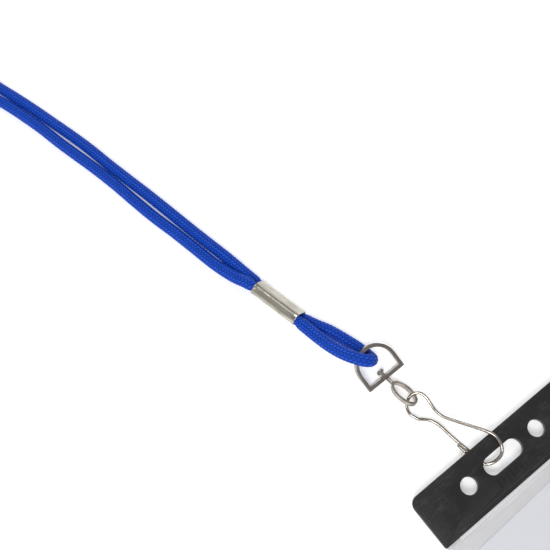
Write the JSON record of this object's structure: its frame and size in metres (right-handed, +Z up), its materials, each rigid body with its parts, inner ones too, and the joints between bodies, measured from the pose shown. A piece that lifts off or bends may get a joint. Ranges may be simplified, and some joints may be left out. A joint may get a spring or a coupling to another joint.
{
  "type": "lanyard badge holder",
  "caption": "Round braided neck cord with a crimped loop, D-ring, swivel eye and spring-wire hook, carrying a clear card pouch with a stiff punched top bar.",
  "frame": {"origin": "under the middle of everything but the free neck cord, on the surface the set lies on", "axes": "+Z up from the surface, +Y from the pouch towards the neck cord, +X along the top bar to the right"},
  "size_m": [0.144, 0.4382, 0.0121],
  "materials": {
    "cord": "tightly braided deep blue polyester, soft sheen",
    "sleeve_nickel": "nickel plated sheet, lightly drawn along its length",
    "ring_nickel": "nickel plated stamped strip, slightly dull",
    "wire_nickel": "nickel plated spring wire",
    "black_bar": "satin black moulded plastic with fine scratches",
    "clear_film": "frosted clear flexible film",
    "card_white": "blank white card with a soft gloss"
  },
  "bodies": {
    "cord_and_sleeve": {"neck_cord_right": "cord", "neck_cord_left": "cord", "neck_cord_coil": "cord", "cord_loop": "cord", "crimp_sleeve": "sleeve_nickel", "crimped_cord_core": "cord"},
    "ring": {"d_ring": "ring_nickel"},
    "swivel": {"swivel_eye": "ring_nickel"},
    "hook": {"hook_wire": "wire_nickel"},
    "spring_arm": {"hook_spring_arm": "wire_nickel"},
    "holder": {"bar_back_leaf": "black_bar", "bar_front_leaf": "black_bar", "pouch_back_film": "clear_film", "pouch_front_film": "clear_film", "pouch_edge_weld": "clear_film"},
    "card": {"badge_card": "card_white"}
  },
  "joints": [
    {"name": "ring_swing", "type": "hinge", "parent": "cord_and_sleeve", "child": "ring", "pos_m": [-0.0136, 0.05837, 0.006], "axis": [0, 0, 1], "range_deg": [-12, 8]},
    {"name": "swivel_spin", "type": "hinge", "parent": "ring", "child": "swivel", "pos_m": [-0.01225, 0.04807, 0.002], "axis": [0.1073, -0.9879, 0.1121], "continuous": true},
    {"name": "hook_swing", "type": "hinge", "parent": "swivel", "child": "hook", "pos_m": [-0.011, 0.03527, 0.003], "axis": [0, 0, 1], "range_deg": [-12, 25]},
    {"name": "spring_arm_flex", "type": "hinge", "parent": "hook", "child": "spring_arm", "pos_m": [-0.0133, 0.02982, 0.0015], "axis": [0, 0, 1], "range_deg": [0, 9], "stiffness_Nm_per_rad": 0.02},
    {"name": "holder_swing", "type": "hinge", "parent": "hook", "child": "holder", "pos_m": [-0.0008, 0.00307, 0.004], "axis": [0, 0, 1], "range_deg": [-16, 16]},
    {"name": "card_slide", "type": "slide", "parent": "holder", "child": "card", "axis": [0, 0.9994, 0.0342], "range_m": [-0.0022, 0.0012]}
  ]
}
